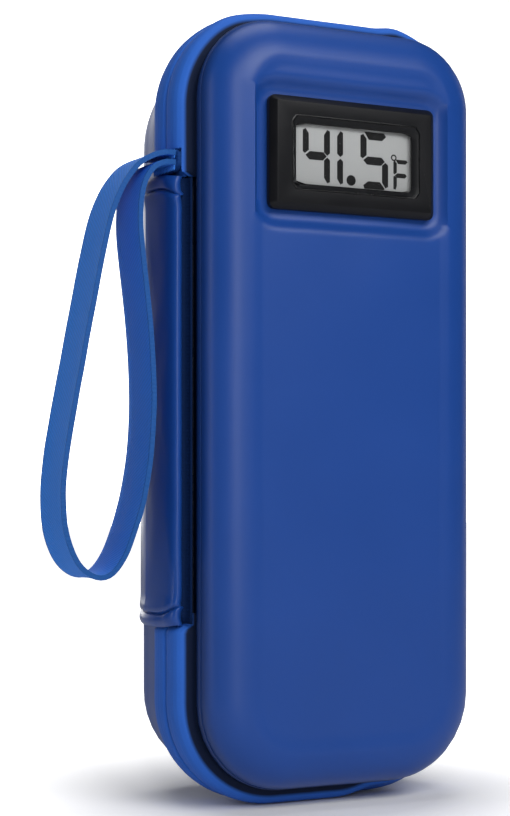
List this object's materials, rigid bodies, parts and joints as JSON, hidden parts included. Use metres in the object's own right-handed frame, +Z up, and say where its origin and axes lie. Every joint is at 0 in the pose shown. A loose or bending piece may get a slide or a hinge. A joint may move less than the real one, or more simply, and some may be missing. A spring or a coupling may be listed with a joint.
{
  "type": "insulin cooling case",
  "caption": "Zipped hard-shell insulin cooling case with a panel thermometer in its lid, a spine hinge, a wrist strap and gel packs inside.",
  "frame": {"origin": "middle of the rear half of the zip band's underside, which the closed case stands on", "axes": "+Z up the case's height, +Y towards its deep back half, +X to the right of someone who faces the lid; the zip line lies 4.25 mm in front of the origin"},
  "size_m": [0.1203, 0.0557, 0.205],
  "materials": {
    "eva_shell": "smooth PU skin on moulded EVA, satin",
    "zip_tape": "woven polyester tape",
    "webbing": "flat woven polyester webbing",
    "coil": "nylon coil",
    "slider_metal": "enamelled zinc casting",
    "lining_foil": "aluminised foil on insulating foam",
    "black_fabric": "knitted polyester",
    "black_abs": "moulded ABS, fine satin",
    "clear_window": "clear acrylic",
    "lcd_glass": "reflective LCD",
    "circuit_board": "solder mask on glass epoxy",
    "black_rubber": "soft moulded",
    "cell_steel": "nickel-plated steel",
    "gel_pack": "translucent film over gel"
  },
  "bodies": {
    "rear_half": {"rear_shell": "eva_shell", "spine_flap": "eva_shell", "rear_tape": "zip_tape", "rear_coil": "coil", "rear_lining": "lining_foil", "ice_pack_upper": "gel_pack", "ice_pack_lower": "gel_pack", "divider_pad": "black_fabric", "pen_loops_upper": "black_fabric", "pen_loops_lower": "black_fabric"},
    "spine": {"spine_panel": "eva_shell", "strap_anchor": "webbing"},
    "lid": {"front_shell": "eva_shell", "front_tape": "zip_tape", "front_coil_upper": "coil", "front_coil_lower": "coil", "front_lining": "lining_foil", "mesh_pocket": "black_fabric", "module_housing": "black_abs", "display_lens": "clear_window", "lcd_panel": "lcd_glass", "contact_strip": "black_rubber", "circuit_board": "circuit_board", "button_cell_left": "cell_steel", "button_cell_right": "cell_steel", "module_back": "black_abs", "probe_lead": "black_rubber", "probe_tip": "cell_steel", "probe_clip": "black_fabric"},
    "strap": {"wrist_strap": "webbing"},
    "upper_slider": {"upper_slider": "slider_metal"},
    "upper_pull": {"upper_pull": "slider_metal"},
    "lower_slider": {"lower_slider": "slider_metal"},
    "lower_pull": {"lower_pull": "slider_metal"},
    "battery_cover": {"battery_cover": "black_abs"},
    "unit_button": {"unit_button": "black_rubber"}
  },
  "joints": [
    {"name": "spine_hinge", "type": "hinge", "parent": "rear_half", "child": "spine", "pos_m": [-0.0455, 0.0039, 0.1035], "axis": [0, 0, -1], "range_deg": [0, 90]},
    {"name": "lid_hinge", "type": "hinge", "parent": "spine", "child": "lid", "pos_m": [-0.0433, -0.0124, 0.1035], "axis": [0, 0, -1], "range_deg": [0, 90]},
    {"name": "strap_swing", "type": "hinge", "parent": "spine", "child": "strap", "pos_m": [-0.04345, -0.00425, 0.1676], "axis": [0, 1, 0], "range_deg": [0, 90]},
    {"name": "upper_slider_run", "type": "slide", "parent": "rear_half", "child": "upper_slider", "axis": [0, 0, 1], "range_m": [0, 0.064]},
    {"name": "lower_slider_run", "type": "slide", "parent": "rear_half", "child": "lower_slider", "axis": [0, 0, -1], "range_m": [0, 0.064]},
    {"name": "upper_pull_swing", "type": "hinge", "parent": "upper_slider", "child": "upper_pull", "pos_m": [0.0452, -0.00425, 0.1098], "axis": [0, -1, 0], "range_deg": [0, 150]},
    {"name": "lower_pull_swing", "type": "hinge", "parent": "lower_slider", "child": "lower_pull", "pos_m": [0.0452, -0.00425, 0.0952], "axis": [0, -1, 0], "range_deg": [0, 120]},
    {"name": "unit_button_press", "type": "slide", "parent": "lid", "child": "unit_button", "axis": [0, -1, 0], "range_m": [0, 0.0005], "stiffness_N_per_m": 400},
    {"name": "battery_cover_slide", "type": "slide", "parent": "lid", "child": "battery_cover", "axis": [-1, 0, 0], "range_m": [0, 0.008]}
  ],
  "couplings": [
    {"joint": "lid_hinge", "follows": "spine_hinge", "ratio": 1}
  ]
}
